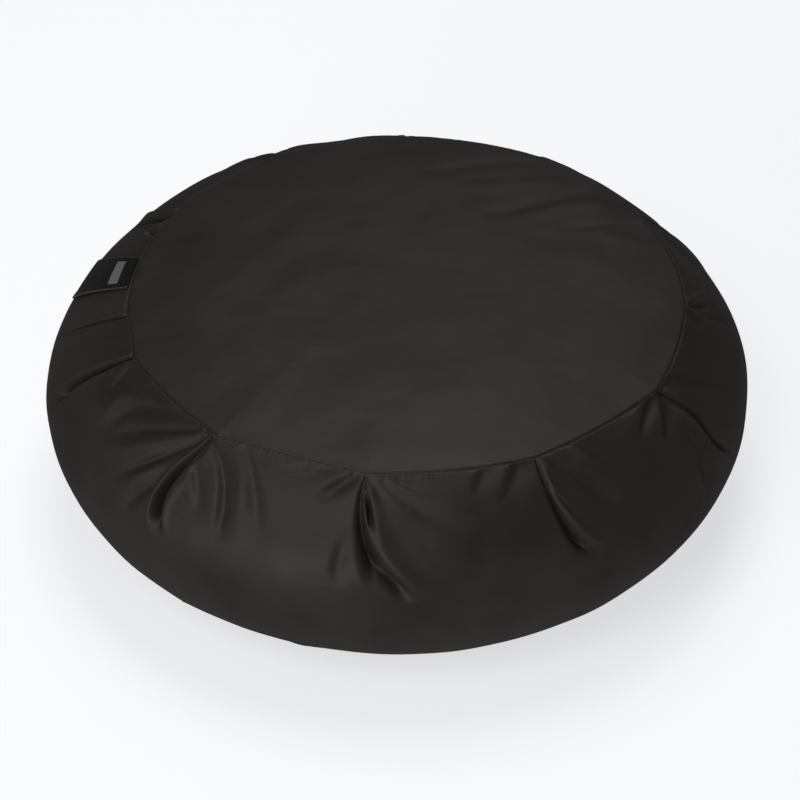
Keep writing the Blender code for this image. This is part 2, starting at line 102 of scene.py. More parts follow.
# The folds of each pleat. rise is in mm, with a minus for a trough. width is the half width in mm where
# the fold starts and spread how many times wider it ends. sharp goes from 0, a soft swell, to 1, a crisp
# crease. slide is how many mm the lip on its far side leans, with a minus where it leans over the crease.
# first is the share of the rise that it starts with and peak the share of its length where it has it all.
# path runs from the seam down, as (degrees from the pleat, mm of drop). near is how many times wider the
# fold is on the side of the lower bearings, or of the higher ones where it is mirrored.
Fold = namedtuple("Fold", "rise width spread sharp slide first peak path near", defaults=(1.0,))
FOLDS = {
    "front_left": [
        Fold(-8.4, 0.8, 4.4, 0.4, -1.8, 0.15, 0.82, ((0.0, 0), (2.2, 19), (3.9, 38), (1.0, 61))),
        Fold(1.6, 0.8, 1.9, 0.2, 0.0, 0.6, 0.8, ((0.8, 2), (3.5, 20), (5.3, 38), (2.8, 62))),
        Fold(1.2, 1.2, 1.9, 0.1, 0.0, 0.0, 0.8, ((-0.8, 16), (0.8, 28), (1.6, 39), (-0.8, 62))),
        Fold(2.3, 2.2, 2.6, 0.0, 0.0, 0.6, 0.6, ((2.9, 3), (8.8, 17), (14.4, 32), (20.0, 50))),
        Fold(-2.2, 1.5, 2.4, 0.2, 0.0, 0.6, 0.6, ((2.6, 2), (8.2, 10), (13.6, 20), (20.0, 38))),
        Fold(-3.0, 1.5, 2.2, 0.2, 0.0, 0.2, 0.5, ((2.5, 8), (6.9, 23), (10.6, 37), (14.2, 54))),
        Fold(1.6, 1.8, 1.8, 0.0, 0.0, 0.2, 0.5, ((4.6, 22), (7.4, 32), (10.2, 43), (13.4, 56))),
        Fold(-2.6, 1.8, 1.9, 0.1, 0.0, 0.2, 0.5, ((4.8, 30), (6.6, 41), (8.3, 52), (9.5, 66))),
        Fold(-1.9, 1.2, 1.8, 0.0, 0.0, 0.2, 0.5, ((1.6, 13), (0.2, 22), (-2.0, 31), (-4.2, 44)), 2.4),
        Fold(-3.0, 1.1, 1.9, 0.2, 0.0, 0.4, 0.6, ((-0.2, 6), (-4.2, 17), (-7.2, 32), (-9.4, 54)), 2.0),
        Fold(1.2, 2.6, 1.6, 0.0, 0.0, 0.2, 0.5, ((-4.4, 5), (-8.2, 18), (-10.8, 34), (-12.4, 52))),
        Fold(-1.3, 1.5, 2.2, 0.1, 0.0, 0.4, 0.5, ((-6.6, 3), (-9.8, 14), (-13.0, 28), (-16.0, 46))),
        Fold(1.8, 2.4, 1.8, 0.0, 0.0, 0.3, 0.5, ((13.0, 2), (19.6, 9), (24.0, 22), (23.8, 42))),
        Fold(-1.6, 2.2, 1.8, 0.0, 0.0, 0.3, 0.5, ((10.0, 3), (17.0, 12), (20.6, 24), (20.8, 42))),
    ],
    "front_mid": [
        Fold(-6.6, 0.7, 5.4, 0.1, -1.2, 0.16, 0.8, ((0.0, 0), (0.6, 14), (-0.4, 30), (-3.8, 55)), 1.2),
        Fold(-6.0, 0.8, 1.5, 0.4, 0.0, 0.1, 0.6, ((0.0, 8), (-1.1, 18), (-2.2, 30))),
        Fold(1.7, 1.5, 1.8, 0.0, 0.0, 0.2, 0.7, ((0.0, 17), (-2.5, 33), (-6.5, 47), (-11.0, 65)), 2.2),
        Fold(1.1, 1.0, 1.9, 0.0, 0.0, 0.4, 0.6, ((-1.1, 8), (-2.0, 19), (-3.3, 30), (-5.6, 43)), 3.0),
        Fold(-4.8, 2.6, 1.3, 0.0, 0.0, 0.4, 0.6, ((-2.2, 40), (-4.4, 48), (-6.6, 55), (-9.2, 67)), 0.8),
        Fold(-2.2, 1.7, 2.0, 0.0, 0.0, 0.6, 0.4, ((1.6, 1), (4.4, 8), (8.4, 20)), 1.5),
        Fold(-1.4, 1.8, 2.0, 0.0, 0.0, 0.6, 0.4, ((6.4, 0), (10.0, 4), (14.4, 11)), 1.5),
        Fold(-1.2, 1.2, 1.9, 0.0, 0.0, 0.5, 0.4, ((-0.3, 3), (-2.4, 11), (-5.0, 20)), 2.4),
        Fold(-0.9, 1.3, 1.7, 0.0, 0.0, 0.6, 0.4, ((-4.6, 1), (-6.9, 4), (-9.8, 10)), 2.4),
        Fold(-1.2, 1.3, 2.4, 0.0, 0.0, 0.4, 0.5, ((-3.0, 5), (-7.4, 15), (-12.4, 24), (-18.4, 35)), 2.4),
        Fold(-1.6, 2.2, 1.5, 0.0, 0.0, 0.2, 0.5, ((1.6, 31), (2.3, 43), (1.6, 60)), 1.4),
        Fold(0.7, 2.2, 1.6, 0.0, 0.0, 0.2, 0.5, ((1.0, 36), (-0.9, 50), (-3.8, 66))),
    ],
    "front_mid_right": [
        Fold(-5.4, 0.7, 5.2, 0.3, -1.0, 0.25, 0.82, ((0.1, 0), (-0.2, 18), (-1.5, 36), (-5.4, 59))),
        Fold(1.6, 1.2, 2.4, 0.1, 0.4, 0.3, 0.8, ((-0.8, 10), (-2.4, 30), (-4.2, 42), (-7.8, 58))),
        Fold(-1.2, 0.9, 1.8, 0.2, 0.0, 0.3, 0.5, ((-0.5, 14), (-2.3, 27), (-4.4, 40))),
        Fold(1.2, 9.0, 1.0, 0.0, 0.0, 0.8, 0.3, ((4.6, 0), (6.4, 7), (9.4, 21)), 0.22),
        Fold(-1.6, 2.0, 1.0, 0.0, 0.0, 0.8, 0.3, ((3.7, 0), (5.5, 7), (8.5, 21)), 4.5),
        Fold(0.6, 9.0, 1.0, 0.0, 0.0, 0.8, 0.3, ((10.9, 0), (12.2, 5), (14.0, 16)), 0.22),
        Fold(-0.8, 2.0, 1.0, 0.0, 0.0, 0.8, 0.3, ((9.9, 0), (11.2, 5), (13.0, 16)), 4.0),
        Fold(1.5, 2.2, 1.7, 0.0, 0.0, 0.7, 0.4, ((-0.2, 0), (-1.5, 6), (-4.0, 15)), 0.6),
        Fold(1.8, 3.2, 1.5, 0.0, 0.0, 0.6, 0.4, ((-7.0, 0), (-9.4, 9), (-12.6, 22)), 0.5),
        Fold(1.0, 1.8, 1.8, 0.0, 0.0, 0.5, 0.5, ((-2.8, 2), (-7.2, 12), (-12.0, 25))),
        Fold(-1.2, 2.2, 2.0, 0.0, 0.0, 0.2, 0.5, ((-5.0, 12), (-8.4, 26), (-11.0, 44)), 1.4),
    ],
    "front_right": [
        Fold(-3.8, 0.7, 2.4, 0.5, 0.6, 0.4, 0.84, ((-0.3, 0), (-2.6, 17), (-4.0, 34), (-9.6, 66))),
        Fold(1.2, 1.6, 2.2, 0.1, 0.0, 0.3, 0.75, ((-3.2, 12), (-4.8, 28), (-7.4, 44), (-11.6, 60))),
        Fold(1.2, 1.1, 1.8, 0.1, 0.0, 0.6, 0.6, ((-0.2, 3), (-1.3, 17), (-2.8, 33), (-4.2, 46))),
        Fold(1.7, 9.0, 1.0, 0.0, 0.0, 0.8, 0.35, ((3.2, 0), (6.8, 6), (12.0, 19)), 0.2),
        Fold(-2.8, 2.2, 1.2, 0.0, 0.0, 0.8, 0.35, ((2.2, 0), (5.8, 6), (11.0, 19)), 3.0),
        Fold(-3.4, 2.0, 1.2, 0.0, 0.0, 0.6, 0.4, ((-0.6, 2), (1.4, 12), (4.0, 21), (6.6, 35)), 4.0),
        Fold(1.4, 1.4, 1.9, 0.2, 0.0, 0.6, 0.5, ((-1.3, 2), (-5.0, 13), (-9.8, 26))),
        Fold(-2.4, 2.6, 1.8, 0.0, 0.0, 0.4, 0.4, ((-5.2, 4), (-8.6, 14), (-13.6, 29), (-20.0, 46))),
        Fold(-2.6, 2.2, 1.4, 0.0, 0.0, 0.2, 0.5, ((0.5, 28), (0.1, 45), (-0.3, 62), (-1.2, 86)), 1.6),
    ],
    "right": [
        Fold(-2.6, 1.3, 2.0, 0.4, 0.0, 0.5, 0.5, ((0.3, 0), (-2.2, 10), (-7.0, 24))),
        Fold(2.0, 1.2, 2.0, 0.2, 0.0, 0.6, 0.5, ((0.0, 0), (-4.8, 9), (-10.6, 22))),
        Fold(-2.2, 2.2, 1.6, 0.1, 0.0, 0.6, 0.4, ((2.0, 1), (3.0, 8), (4.6, 18))),
        Fold(-1.4, 1.6, 1.8, 0.2, 0.0, 0.3, 0.5, ((0.6, 6), (-0.6, 16), (-3.6, 30), (-7.0, 44))),
    ],
    "left": [
        Fold(-9.6, 0.9, 4.8, 0.4, -2.6, 0.4, 0.74, ((0.0, 0), (3.2, 17), (6.1, 35), (8.0, 59))),
        Fold(1.8, 1.0, 1.9, 0.2, 0.0, 0.6, 0.8, ((1.0, 1), (4.7, 17), (7.9, 35), (10.2, 58))),
        Fold(1.1, 1.3, 1.8, 0.2, 0.0, 0.2, 0.7, ((-0.8, 10), (2.4, 22), (5.0, 38), (6.4, 58))),
        Fold(-1.7, 2.0, 1.7, 0.1, 0.0, 0.5, 0.4, ((-1.6, 4), (-2.4, 14), (-2.0, 30))),
        Fold(-1.2, 1.5, 1.9, 0.2, 0.0, 0.4, 0.5, ((2.8, 2), (7.4, 12), (10.6, 28))),
    ],
    "strip_end": [
        Fold(-2.0, 0.8, 1.4, 0.5, -0.6, 0.9, 0.6, ((-0.2, 0), (2.1, 10), (7.0, 36), (10.8, 56))),
    ],
    "back_left": [
        Fold(-8.0, 1.0, 2.0, 0.2, 0.0, 0.9, 0.6, ((-1.5, 0), (-1.2, 11), (0.2, 25), (1.4, 42)), 2.6),
        Fold(1.6, 1.5, 1.7, 0.2, 0.0, 0.5, 0.6, ((0.8, 2), (1.2, 14), (2.8, 28), (3.6, 44))),
        Fold(-5.0, 1.3, 1.3, 0.2, 0.0, 0.9, 0.6, ((-8.0, 0), (-7.4, 5), (-6.6, 13)), 1.8),
        Fold(-2.2, 1.2, 1.9, 0.4, 0.0, 0.6, 0.5, ((-2.6, 1), (-3.8, 9), (-4.6, 20))),
        Fold(-1.6, 1.3, 1.5, 0.3, 0.0, 0.6, 0.5, ((-12.4, 0), (-11.8, 5), (-10.6, 12))),
        Fold(-1.7, 1.6, 1.9, 0.2, 0.0, 0.4, 0.4, ((2.8, 2), (6.8, 11), (10.0, 26))),
    ],
}

# At the base seam each pleat has the folds of another one, mirrored, weaker and shorter.
BASE_FOLDS_FROM = 5
BASE_STRENGTH = 0.5
BASE_REACH = 0.45

# The strip's own end lies over its start, on the side of this line with the higher bearings: a thin step at
# its edge, which evens out over its run along the band and its reach down it.
STRIP_END_BEARING = 171.5
STRIP_END_PATH = ((0.0, 0), (2.3, 10), (7.3, 36), (11.0, 53), (13.0, 70))
OVERLAP_STEP = 0.0017
OVERLAP_RUN = 0.040
OVERLAP_EDGE = 0.0008
OVERLAP_REACH = 0.070

# A fold's line is a curve of this degree at most, and its slope is read over this step.
CURVE_DEGREE = 3
SLOPE_STEP = 0.0005

# How far above its first point a fold sets in, how crisp its sharp part is, and where the lip beside it lies
# and how wide it is, both in half widths of the fold. Under its end a main crease returns to a plumb line.
FOLD_LEAD = 0.004
CRISPNESS = 1.7
CREASE_ROUND = 0.25
LIP_PLACE = 1.3
LIP_WIDTH = 1.5
CREASE_RETURN = 0.045

# Fine puckers along both seams, from the stitches that hold the cloth there, and low swells between them
SEAM_HOLD = 0.0026
PUCKER_REACH = 0.006
PUCKER_HEIGHT = 0.00022
PUCKER_WAVES = (97, 131, 163, 211, 254)
PUCKER_SEED = 3
SWELL_HEIGHT = 0.0005
SWELL_WAVES = (9, 14, 21, 30)
SWELL_SEED = 8
SWELL_FADE = 0.02
RIPPLE_LEAN = 90
RIPPLE_LEAST = 0.5

# Mesh: columns and rows crowd towards the creases and the seams, and hidden rows close the band under the
# top panel and over the base panel.
TRACE_STEPS = 1200
BAND_COLUMNS = 960
BAND_ROWS = 82
SEAM_DROPS = (0.0, 0.0004, 0.0008, 0.0013, 0.0019, 0.0026)
COLUMN_GATHER = 0.62
ROW_GATHER = 0.50
TOP_RECESS_SHARES = (0.0, 0.3, 0.6, 0.85)
BASE_RECESS_SHARES = (0.94, BASE_FLAT_SHARE, 0.5, 0.0)
RECESS_ROWS = len(TOP_RECESS_SHARES) + 1
TINY_TURN = 1e-7
WELD = 0.000001


def smooth(share):
    """0 to 1 with level ends."""
    share = np.clip(share, 0.0, 1.0)
    return share * share * (3 - 2 * share)


def mixed(first, second, share):
    return first + (second - first) * share


def bell(distance, width):
    return np.exp(-((distance / width) ** 2))


def gathered(share, gather):
    """Crowds evenly spaced shares towards 0 and 1."""
    return share - gather * np.sin(2 * np.pi * share) / (2 * np.pi)


def plain_trace():
    """Drop, radius and height of the plain side, an ellipse above and another below its widest ring."""
    upper = math.acos(TOP_SEAM_RADIUS / WIDEST_RADIUS)
    lower = math.acos(BASE_SEAM_RADIUS / WIDEST_RADIUS)
    lean = np.linspace(upper, -lower, TRACE_STEPS)
    upper_rise = (TOP_SEAM_HEIGHT - WIDEST_HEIGHT) / math.sin(upper)
    lower_rise = (WIDEST_HEIGHT - BASE_SEAM_HEIGHT) / math.sin(lower)
    radius = WIDEST_RADIUS * np.cos(lean)
    height = WIDEST_HEIGHT + np.where(lean > 0, upper_rise, lower_rise) * np.sin(lean)
    steps = np.hypot(np.diff(radius), np.diff(height))
    return np.concatenate([[0], np.cumsum(steps)]), radius, height


TRACE_DROP, TRACE_RADIUS, TRACE_HEIGHT = plain_trace()
TRACE_OUT = np.gradient(TRACE_HEIGHT, TRACE_DROP)
TRACE_UP = np.gradient(TRACE_RADIUS, TRACE_DROP)
SIDE_LENGTH = TRACE_DROP[-1]


def path_bearing(path, drop, side=1):
    """A fold's bearing from its pleat at a drop: one smooth curve through its points."""
    offsets, drops = np.array(path, float).T
    curve = np.polyfit(drops * MM, offsets, min(len(path) - 1, CURVE_DEGREE))
    inside = np.clip(drop, drops[0] * MM, drops[-1] * MM)
    return side * np.polyval(curve, inside)


def crease_bearing(pleat, drop):
    """Where a pleat's main crease runs, and its return to a plumb line under it."""
    path = FOLDS[pleat.folds][0].path
    below = (drop - path[-1][1] * MM) / CREASE_RETURN
    return pleat.bearing + path_bearing(path, drop, pleat.side) * (1 - smooth(below))


def span_shares(bearing, drop):
    """For each point, the number of the pleat before it and its share of the way to the next one."""
    starts = np.stack([crease_bearing(pleat, drop) * np.ones_like(bearing) for pleat in PLEATS])
    past = (bearing - starts + TINY_TURN) % 360
    number = past.argmin(axis=0)[None]
    widths = (np.roll(starts, -1, axis=0) - starts) % 360
    share = np.take_along_axis(past, number, axis=0) / np.take_along_axis(widths, number, axis=0)
    return number[0], share[0]


def seam_offset(bearing, drop):
    """How far the seam lies outside its mean radius: corners at the pleats, nearly straight between."""
    number, share = span_shares(bearing, drop)
    corner = np.array([pleat.corner for pleat in PLEATS])
    dip = np.array([pleat.dip for pleat in PLEATS])
    corners = mixed(corner[number], np.roll(corner, -1)[number], share)
    return (corners - 4 * dip[number] * share * (1 - share)) * MM - TOP_SEAM_RADIUS


def ripple(bearing, drop, waves, seed):
    """An uneven ripple round the cushion, from -1 to 1: waves of whole numbers, leaning as they go down."""
    rng = np.random.default_rng(seed)
    total = np.zeros(np.broadcast(bearing, drop).shape)
    for turns in waves:
        phase, lean, weight = rng.uniform((0, -RIPPLE_LEAN, RIPPLE_LEAST), (2 * np.pi, RIPPLE_LEAN, 1))
        total = total + weight * np.sin(np.radians(bearing) * turns + phase + lean * drop)
    return total / len(waves)


def across_path(bearing, drop, radius, start_bearing, path, side):
    """How far points lie from a fold's line, square to it, with a plus towards higher bearings."""
    centre = start_bearing + path_bearing(path, drop, side)
    ahead = path_bearing(path, drop + SLOPE_STEP, side)
    behind = path_bearing(path, drop - SLOPE_STEP, side)
    slope = np.radians(ahead - behind) / (2 * SLOPE_STEP) * radius
    return np.radians((bearing - centre + 180) % 360 - 180) * radius / np.hypot(1, slope)


def fold_relief(fold, pleat, side, strength, bearing, drop, radius):
    """The height over the plain side and the slide round the ring that one fold gives, in metres."""
    start, end = fold.path[0][1] * MM, fold.path[-1][1] * MM
    along = (drop - start) / (end - start)
    across = side * across_path(bearing, drop, radius, pleat.bearing, fold.path, side)
    width = fold.width * MM * (1 + (fold.spread - 1) * np.clip(along, 0, 1))
    width = width * np.where(across < 0, fold.near, 1.0)
    growing = mixed(fold.first, 1, smooth(along / fold.peak))
    fading = 1 - smooth((along - fold.peak) / (1 - fold.peak))
    share = strength * growing * fading * smooth(1 + (drop - start) / FOLD_LEAD)
    crisp = np.exp(-CRISPNESS * (np.hypot(across / width, CREASE_ROUND) - CREASE_ROUND))
    profile = (1 - fold.sharp) * bell(across, width) + fold.sharp * crisp
    rise = fold.rise * MM * share * profile
    slide = fold.slide * MM * share * bell(across - LIP_PLACE * width, LIP_WIDTH * width)
    return rise, slide * side


def band_relief(bearing, drop, radius):
    """Height of the cloth over the plain side, and its slide round the ring."""
    up = SIDE_LENGTH - drop
    _, share = span_shares(bearing, drop)
    puff = PUFF_HEIGHT * np.sin(np.pi * share) ** 2
    rise = puff * smooth(drop / PUFF_DROP) * (1 - smooth(drop / CORNER_FADE))
    rise = rise + puff * smooth(up / PUFF_DROP) * (1 - smooth(up / CORNER_FADE))
    slide = np.zeros_like(rise)
    base_drop = up / BASE_REACH
    for number, pleat in enumerate(PLEATS):
        for fold in FOLDS[pleat.folds]:
            one_rise, one_slide = fold_relief(fold, pleat, pleat.side, pleat.strength, bearing, drop, radius)
            rise = rise + one_rise
            slide = slide + one_slide
        base = PLEATS[(number + BASE_FOLDS_FROM) % len(PLEATS)]
        for fold in FOLDS[base.folds]:
            one_rise, one_slide = fold_relief(
                fold, pleat, -base.side, BASE_STRENGTH, bearing, base_drop, radius
            )
            rise = rise + one_rise
            slide = slide + one_slide
    past_end = across_path(bearing, drop, radius, STRIP_END_BEARING, STRIP_END_PATH, 1)
    step = smooth(past_end / OVERLAP_EDGE) * (1 - smooth(past_end / OVERLAP_RUN))
    rise = rise + OVERLAP_STEP * step * (1 - smooth(drop / OVERLAP_REACH))
    held = smooth(drop / SEAM_HOLD) * smooth(up / SEAM_HOLD)
    pucker = bell(drop, PUCKER_REACH) + bell(up, PUCKER_REACH)
    fine = PUCKER_HEIGHT * ripple(bearing, drop, PUCKER_WAVES, PUCKER_SEED) * pucker
    swell = SWELL_HEIGHT * ripple(bearing, drop, SWELL_WAVES, SWELL_SEED)
    swell = swell * smooth(drop / SWELL_FADE) * smooth(up / SWELL_FADE)
    return rise * held + fine + swell, slide * held


def settling(bearing, drop):
    """How far the band stands out where the filling has settled, with a minus where it has sunk away."""
    full = bell((bearing - FULL_BEARING + 180) % 360 - 180, SETTLED_SPREAD)
    slack = bell((bearing - SLACK_BEARING + 180) % 360 - 180, SETTLED_SPREAD)
    below = (drop - SETTLED_DROP) / (SETTLED_END - SETTLED_DROP)
    return SETTLED * (full - slack) * smooth(drop / SETTLED_DROP) * (1 - smooth(below))


def placed(bearing, radius, height):
    """Points from bearings and radii. Towards the top the rings lie a little off the cushion's axis."""
    share = smooth((height - WIDEST_HEIGHT) / (TOP_SEAM_HEIGHT - WIDEST_HEIGHT))
    turn = np.radians(bearing)
    x = radius * np.cos(turn) + TOP_SHIFT_X * share
    y = -radius * np.sin(turn) + TOP_SHIFT_Y * share
    return np.stack(np.broadcast_arrays(x, y, height), axis=-1)


def side_points(bearing, drop, lift=0.0):
    """Points of the pleated side, or of what lies on it by a lift."""
    radius = np.interp(drop, TRACE_DROP, TRACE_RADIUS)
    height = np.interp(drop, TRACE_DROP, TRACE_HEIGHT)
    outward = -np.interp(drop, TRACE_DROP, TRACE_OUT)
    upward = np.interp(drop, TRACE_DROP, TRACE_UP)
    rise, slide = band_relief(bearing, drop, radius)
    rise = rise + settling(bearing, drop)
    corners = 1 - smooth(drop / CORNER_FADE)
    corners = corners + BASE_CORNER_SHARE * (1 - smooth((SIDE_LENGTH - drop) / CORNER_FADE))
    groove = GROOVE_DEPTH * bell(drop, GROOVE_WIDTH)
    base_groove = GROOVE_DEPTH * bell(SIDE_LENGTH - drop, GROOVE_WIDTH)
    full_radius = radius + (rise + lift) * outward + seam_offset(bearing, drop) * corners
    full_height = height + (rise + lift) * upward - groove + base_groove
    return placed(bearing + np.degrees(slide / radius), full_radius, full_height)


def column_bearings(columns, drop):
    """Bearings of the mesh columns, crowded towards the creases on both sides and following them down."""
    parts = []
    for number, pleat in enumerate(PLEATS):
        following = PLEATS[(number + 1) % len(PLEATS)]
        count = round(columns * ((following.bearing - pleat.bearing) % 360) / 360)
        start = crease_bearing(pleat, drop)
        width = (crease_bearing(following, drop) - start) % 360
        parts.append(start + width * gathered(np.arange(count) / count, COLUMN_GATHER))
    return np.concatenate(parts, axis=1)


def top_points(bearing, share, height, inset=0.0):
    """Points of the round top, at a share of the seam's radius and set in from it."""
    radius = (TOP_SEAM_RADIUS + seam_offset(bearing, np.zeros_like(bearing))) * share - inset
    points = placed(bearing, radius, np.full_like(bearing, TOP_SEAM_HEIGHT))
    points[..., 2] = height + CROWN_RISE * (1 - share**CROWN_SHOULDER)
    return points


def base_points(bearing, share, height, inset=0.0):
    """Points of the round base: flat in the middle, then rising to the seam."""
    corner = BASE_CORNER_SHARE * seam_offset(bearing, np.full_like(bearing, SIDE_LENGTH))
    radius = (BASE_SEAM_RADIUS + corner) * share - inset
    rise = np.maximum(share - BASE_FLAT_SHARE, 0.0) / (1 - BASE_FLAT_SHARE)
    return placed(bearing, radius, height + BASE_SEAM_HEIGHT * rise * rise)


def wrapped(name, rows, along, down):
    """A flat strip of cloth goes round the cushion: each point to its place, its ends joined.

    rows holds the places, by row and column, and its last column lies on its first. along and down are the
    cloth's own measures in metres at each column and each row, for its weave.
    """
    row_count, column_count = rows.shape[:2]
    mesh = bmesh.new()
    mesh.loops.layers.uv.new("cloth")
    bmesh.ops.create_grid(
        mesh,
        x_segments=column_count - 1,
        y_segments=row_count - 1,
        size=1,
        calc_uvs=True,
    )
    for vert in mesh.verts:
        column = round((vert.co.x + 1) / 2 * (column_count - 1))
        row = round((1 - vert.co.y) / 2 * (row_count - 1))
        vert.co = rows[row, column]
    bmesh.ops.remove_doubles(mesh, verts=mesh.verts, dist=WELD)
    bmesh.ops.recalc_face_normals(mesh, faces=mesh.faces)
    data = bpy.data.meshes.new(name)
    mesh.to_mesh(data)
    mesh.free()
    corners = np.empty(2 * len(data.loops))
    data.uv_layers["cloth"].data.foreach_get("uv", corners)
    corners = corners.reshape(-1, 2)
    corners[:, 0] = np.interp(corners[:, 0] * (column_count - 1), np.arange(column_count), along)
    corners[:, 1] = np.interp((1 - corners[:, 1]) * (row_count - 1), np.arange(row_count), down)
    data.uv_layers["cloth"].data.foreach_set("uv", corners.ravel())
    data.shade_smooth()
    piece = bpy.data.objects.new(name, data)
    bpy.context.scene.collection.objects.link(piece)
    return piece


def closed(rows):
    """Repeats the first column after the last."""
    return np.concatenate([rows, rows[:, :1]], axis=1)


def lengths(points):
    """Length along a row of points, up to each of them."""
    steps = np.linalg.norm(np.diff(points, axis=0), axis=1)
    return np.concatenate([[0], np.cumsum(steps)])


def make_band():
    """The filled band: its hidden recess under the top panel, its side, and its recess over the base."""
    rim = TOP_SEAM_HEIGHT - GROOVE_DEPTH
    recess = rim - PANEL_THICKNESS - GAP
    ceiling = PANEL_THICKNESS + GAP
    top_bearing = column_bearings(BAND_COLUMNS, np.zeros((1, 1)))
    base_bearing = column_bearings(BAND_COLUMNS, np.full((1, 1), SIDE_LENGTH))
    near_seam = np.array(SEAM_DROPS)
    shares = gathered(np.linspace(0, 1, BAND_ROWS + 2)[1:-1], ROW_GATHER)
    between = near_seam[-1] + (SIDE_LENGTH - 2 * near_seam[-1]) * shares
    drop = np.concatenate([near_seam, between, SIDE_LENGTH - near_seam[::-1]])[:, None]
    side = side_points(column_bearings(BAND_COLUMNS, drop), drop)
    rows = [top_points(top_bearing, share, recess) for share in TOP_RECESS_SHARES]
    rows += [top_points(top_bearing, 1.0, recess, -GAP), side]
    rows.append(base_points(base_bearing, 1.0, ceiling, -GAP))
    rows += [base_points(base_bearing, share, ceiling) for share in BASE_RECESS_SHARES]
    rows = np.concatenate(rows, axis=0)
    around = np.append(top_bearing[0], top_bearing[0, 0] + 360) - top_bearing[0, 0]
    along = np.radians(around) * WIDEST_RADIUS
    hidden = np.zeros(RECESS_ROWS)
    down = np.concatenate([hidden, drop[:, 0], hidden + SIDE_LENGTH])
    return wrapped("pleated_band", closed(rows), along, down)


band = make_band()
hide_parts("side_band")
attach(band, "root")

# The sateen: its colour with soft clouds and slubs in it, then the heights in metres of its fine relief
CLOTH_COLOUR = (0.0292, 0.0266, 0.0220)
CLOTH_ROUGHNESS = 0.5
CLOTH_SPECULAR = 0.5
CLOUD_SCALE = 22
CLOUD_CHANGE = 0.22
CLOUD_RANGE = (0.36, 0.64)
SLUB_CHANGE = 0.05
SLUB_SCALES = (90, 1400, 1)
TWILL_PITCH = 0.0007
TWILL_TURN = math.radians(63)
TWILL_HEIGHT = 0.000005
FIBRE_SCALE = 2200
FIBRE_HEIGHT = 0.000015
RUMPLE_SCALE = 38
RUMPLE_HEIGHT = 0.0011
STITCH_PITCH = 0.0034
STITCH_HEIGHT = 0.00009
STITCH_REACH = 0.005

# At a scale of 1 the wave texture repeats after this length.
WAVE_PERIOD = 2 * math.pi / 20


class Finish:
    """A procedural finish that is built up node by node on one Principled shader."""

    def __init__(self, name):
        self.material = bpy.data.materials.new(name)
        self.material.use_nodes = True
        self.nodes = self.material.node_tree.nodes
        self.links = self.material.node_tree.links
        self.shader = self.nodes["Principled BSDF"]
        self.place = self.nodes.new("ShaderNodeTexCoord")

    def spread(self, output, scales=(1, 1, 1), turn=0.0):
        """The named coordinates, scaled and turned about Z."""
        mapping = self.nodes.new("ShaderNodeMapping")
        mapping.inputs["Scale"].default_value = scales
        mapping.inputs["Rotation"].default_value = (0, 0, turn)
        self.links.new(self.place.outputs[output], mapping.inputs["Vector"])
        return mapping.outputs["Vector"]

    def noise(self, vector, scale, detail=3.0, roughness=0.5):
        """Soft uneven noise, from 0 to 1."""
        noise = self.nodes.new("ShaderNodeTexNoise")
        noise.inputs["Scale"].default_value = scale
        noise.inputs["Detail"].default_value = detail
        noise.inputs["Roughness"].default_value = roughness
        self.links.new(vector, noise.inputs["Vector"])
        return noise.outputs["Fac"]

    def ribs(self, vector, pitch):
        """Even ribs across X, from 0 to 1."""
        wave = self.nodes.new("ShaderNodeTexWave")
        wave.inputs["Scale"].default_value = WAVE_PERIOD / pitch
        self.links.new(vector, wave.inputs["Vector"])
        return wave.outputs["Fac"]

    def sum(self, *terms):
        """Adds up (value, times) pairs."""
        total = None
        for value, times in terms:
            step = self.nodes.new("ShaderNodeMath")
            step.operation = "MULTIPLY_ADD"
            step.inputs[1].default_value = times
            step.inputs[2].default_value = 0.0
            self.links.new(value, step.inputs[0])
            if total is not None:
                self.links.new(total, step.inputs[2])
            total = step.outputs[0]
        return total

    def ramp(self, value, low, high, start, end):
        """A value taken from one range to another and kept within it."""
        ramp = self.nodes.new("ShaderNodeMapRange")
        for name, number in (("From Min", low), ("From Max", high), ("To Min", start), ("To Max", end)):
            ramp.inputs[name].default_value = number
        self.links.new(value, ramp.inputs["Value"])
        return ramp.outputs["Result"]

    def product(self, one, other):
        """One value times another."""
        step = self.nodes.new("ShaderNodeMath")
        step.operation = "MULTIPLY"
        self.links.new(one, step.inputs[0])
        self.links.new(other, step.inputs[1])
        return step.outputs[0]

    def within(self, value, centre, reach, edge):
        """1 where the value lies within reach of the centre and 0 outside, with a soft edge."""
        offset = self.nodes.new("ShaderNodeMath")
        offset.operation = "SUBTRACT"
        offset.inputs[1].default_value = centre
        self.links.new(value, offset.inputs[0])
        distance = self.nodes.new("ShaderNodeMath")
        distance.operation = "ABSOLUTE"
        self.links.new(offset.outputs[0], distance.inputs[0])
        return self.ramp(distance.outputs[0], reach - edge, reach + edge, 1, 0)

    def coloured(self, value, low, high, first, last):
        """From the first colour to the last as the value goes from low to high."""
        ramp = self.nodes.new("ShaderNodeValToRGB")
        for element, position, colour in zip(ramp.color_ramp.elements, (low, high), (first, last)):
            element.position = position
            element.color = (*colour, 1)
        self.links.new(value, ramp.inputs["Fac"])
        self.links.new(ramp.outputs["Color"], self.shader.inputs["Base Color"])

    def raised(self, height):
        """Bump from a height in metres."""
        bump = self.nodes.new("ShaderNodeBump")
        bump.inputs["Distance"].default_value = 1.0
        self.links.new(height, bump.inputs["Height"])
        self.links.new(bump.outputs["Normal"], self.shader.inputs["Normal"])


